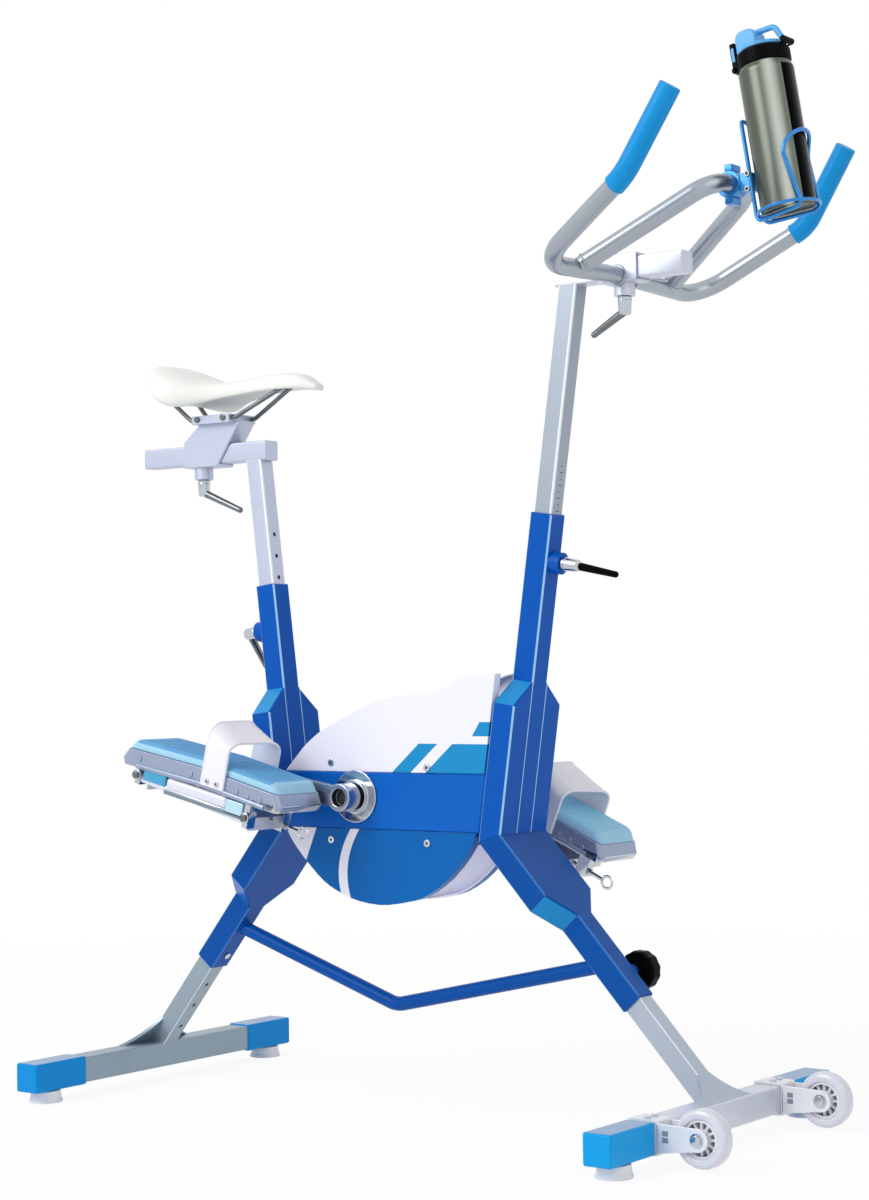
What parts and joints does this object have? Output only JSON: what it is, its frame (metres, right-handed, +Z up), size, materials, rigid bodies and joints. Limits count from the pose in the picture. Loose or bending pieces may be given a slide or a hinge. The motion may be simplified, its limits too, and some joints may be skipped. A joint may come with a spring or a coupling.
{
  "type": "aqua bike",
  "caption": "Pool exercise bike on a splayed tube stand, with crank, finned pedals with foot straps, side fairings, sliding saddle and handlebar, transport wheels and a bottle in a wire cage.",
  "frame": {"origin": "on the floor, in the plane of symmetry, under the middle of the object's length", "axes": "+X forward, towards the handlebar; +Y to the rider's left; +Z up"},
  "size_m": [1.1892, 0.58, 1.4771],
  "materials": {
    "frame_paint": "gloss powder coat",
    "stainless_tube": "brushed",
    "chrome_hardware": "polished",
    "bright_blue": "moulded, semi-gloss",
    "white_shell": "moulded, gloss",
    "blue_shell": "moulded, gloss",
    "white_strap": "moulded, matt",
    "pedal_blue": "moulded, matt, with fine ribs",
    "white_rubber": "moulded, matt",
    "white_wheel": "moulded, satin",
    "white_bracket": "satin powder coat",
    "saddle_cover": "soft moulded skin, matt",
    "black_plastic": "moulded, satin",
    "lid_blue": "moulded, gloss",
    "cage_paint": "anodised gloss"
  },
  "bodies": {
    "frame": {"front_column_sleeve": "frame_paint", "rear_column_sleeve": "frame_paint", "front_leg_sleeve": "frame_paint", "rear_leg_sleeve": "frame_paint", "lower_brace": "frame_paint", "bottom_bracket": "chrome_hardware", "right_beam": "frame_paint", "left_beam": "frame_paint", "right_upper_fairing": "white_shell", "left_upper_fairing": "white_shell", "right_lower_fairing": "blue_shell", "left_lower_fairing": "blue_shell", "right_bearing": "chrome_hardware", "left_bearing": "chrome_hardware"},
    "crankset": {"crank_axle": "chrome_hardware", "right_crank_arm": "chrome_hardware", "left_crank_arm": "chrome_hardware"},
    "saddle_mast": {"saddle_post": "stainless_tube"},
    "saddle_slide": {"saddle_carriage": "stainless_tube", "saddle_rails": "stainless_tube", "saddle": "saddle_cover"},
    "saddle_lever": {"saddle_clamp_lever": "chrome_hardware"},
    "handlebar_mast": {"handlebar_post": "stainless_tube"},
    "handlebar_slide": {"handlebar": "stainless_tube", "handlebar_loop": "stainless_tube", "right_grip": "bright_blue", "left_grip": "bright_blue", "bottle_cage": "cage_paint"},
    "handlebar_lever": {"handlebar_clamp_lever": "chrome_hardware"},
    "bottle": {"bottle_body": "stainless_tube", "bottle_collar": "black_plastic"},
    "lid": {"bottle_lid": "lid_blue"},
    "latch": {"bottle_latch": "black_plastic"},
    "front_lever": {"front_column_lever": "chrome_hardware"},
    "rear_lever": {"rear_column_lever": "chrome_hardware"},
    "knob": {"front_leg_knob": "black_plastic"},
    "front_foot": {"front_foot_frame": "stainless_tube", "front_right_cap": "bright_blue", "front_right_pad": "white_rubber", "front_left_cap": "bright_blue", "front_left_pad": "white_rubber", "right_wheel_bracket": "white_bracket", "left_wheel_bracket": "white_bracket"},
    "rear_foot": {"rear_foot_frame": "stainless_tube", "rear_right_cap": "bright_blue", "rear_right_pad": "white_rubber", "rear_left_cap": "bright_blue", "rear_left_pad": "white_rubber"},
    "right_pedal": {"right_pedal_platform": "stainless_tube", "right_pedal_pad": "pedal_blue", "right_foot_strap": "white_strap"},
    "right_fin": {"right_fin": "stainless_tube"},
    "right_fin_pin": {"right_fin_lock_pin": "chrome_hardware"},
    "right_wheel_body": {"right_wheel": "white_wheel"},
    "left_pedal": {"left_pedal_platform": "stainless_tube", "left_pedal_pad": "pedal_blue", "left_foot_strap": "white_strap"},
    "left_fin": {"left_fin": "stainless_tube"},
    "left_fin_pin": {"left_fin_lock_pin": "chrome_hardware"},
    "left_wheel_body": {"left_wheel": "white_wheel"}
  },
  "joints": [
    {"name": "crank_spin", "type": "hinge", "parent": "frame", "child": "crankset", "pos_m": [-0.12824, 0, 0.452], "axis": [0, 1, 0], "continuous": true},
    {"name": "right_pedal_spin", "type": "hinge", "parent": "crankset", "child": "right_pedal", "pos_m": [-0.30094, -0.155, 0.48028], "axis": [0, 1, 0], "continuous": true},
    {"name": "right_fin_swing", "type": "hinge", "parent": "right_pedal", "child": "right_fin", "pos_m": [-0.41603, -0.197, 0.47965], "axis": [-0.9613, 0, 0.2756], "range_deg": [0, 90]},
    {"name": "right_fin_pin_pull", "type": "slide", "parent": "right_pedal", "child": "right_fin_pin", "axis": [0.9613, 0, -0.2756], "range_m": [0, 0.01], "stiffness_N_per_m": 400},
    {"name": "left_pedal_spin", "type": "hinge", "parent": "crankset", "child": "left_pedal", "pos_m": [0.04446, 0.155, 0.42372], "axis": [0, 1, 0], "continuous": true},
    {"name": "left_fin_swing", "type": "hinge", "parent": "left_pedal", "child": "left_fin", "pos_m": [-0.06931, 0.197, 0.44111], "axis": [0.9063, 0, -0.4226], "range_deg": [0, 90]},
    {"name": "left_fin_pin_pull", "type": "slide", "parent": "left_pedal", "child": "left_fin_pin", "axis": [0.9063, 0, -0.4226], "range_m": [0, 0.01], "stiffness_N_per_m": 400},
    {"name": "saddle_height", "type": "slide", "parent": "frame", "child": "saddle_mast", "axis": [-0.1193, 0, 0.9929], "range_m": [-0.09, 0.09]},
    {"name": "saddle_fore_aft", "type": "slide", "parent": "saddle_mast", "child": "saddle_slide", "axis": [1, 0, 0], "range_m": [-0.075, 0.02]},
    {"name": "saddle_lever_turn", "type": "hinge", "parent": "saddle_slide", "child": "saddle_lever", "pos_m": [-0.46724, 0, 0.932], "axis": [0, 0, 1], "range_deg": [-90, 90]},
    {"name": "handlebar_height", "type": "slide", "parent": "frame", "child": "handlebar_mast", "axis": [0.1473, 0, 0.9891], "range_m": [-0.13, 0.12]},
    {"name": "handlebar_fore_aft", "type": "slide", "parent": "handlebar_mast", "child": "handlebar_slide", "axis": [1, 0, 0], "range_m": [-0.022, 0.06]},
    {"name": "handlebar_lever_turn", "type": "hinge", "parent": "handlebar_slide", "child": "handlebar_lever", "pos_m": [0.30476, 0, 1.14], "axis": [0, 0, 1], "range_deg": [-90, 90]},
    {"name": "front_column_lever_turn", "type": "hinge", "parent": "frame", "child": "front_lever", "pos_m": [0.1635, 0, 0.78375], "axis": [0.9891, 0, -0.1473], "range_deg": [-90, 90]},
    {"name": "rear_column_lever_turn", "type": "hinge", "parent": "frame", "child": "rear_lever", "pos_m": [-0.32366, 0, 0.69798], "axis": [0.9929, 0, 0.1193], "range_deg": [-90, 90]},
    {"name": "front_leg_length", "type": "slide", "parent": "frame", "child": "front_foot", "axis": [0.68, 0, -0.7333], "range_m": [-0.05, 0.07]},
    {"name": "rear_leg_length", "type": "slide", "parent": "frame", "child": "rear_foot", "axis": [-0.6285, 0, -0.7778], "range_m": [-0.035, 0.07]},
    {"name": "front_leg_knob_turn", "type": "hinge", "parent": "frame", "child": "knob", "pos_m": [0.28317, 0.04, 0.21583], "axis": [0, 1, 0], "range_deg": [-180, 180]},
    {"name": "right_wheel_spin", "type": "hinge", "parent": "front_foot", "child": "right_wheel_body", "pos_m": [0.50526, -0.1645, 0.0422], "axis": [0, 1, 0], "continuous": true},
    {"name": "left_wheel_spin", "type": "hinge", "parent": "front_foot", "child": "left_wheel_body", "pos_m": [0.50526, 0.1645, 0.0422], "axis": [0, 1, 0], "continuous": true},
    {"name": "bottle_lift", "type": "slide", "parent": "handlebar_slide", "child": "bottle", "axis": [-0.1633, 0, 0.9866], "range_m": [0, 0.15]},
    {"name": "bottle_lid_flip", "type": "hinge", "parent": "bottle", "child": "lid", "pos_m": [0.56032, 0, 1.45266], "axis": [0, 1, 0], "range_deg": [0, 110]},
    {"name": "bottle_latch_flip", "type": "hinge", "parent": "bottle", "child": "latch", "pos_m": [0.48767, 0, 1.42162], "axis": [0, -1, 0], "range_deg": [0, 60]}
  ]
}
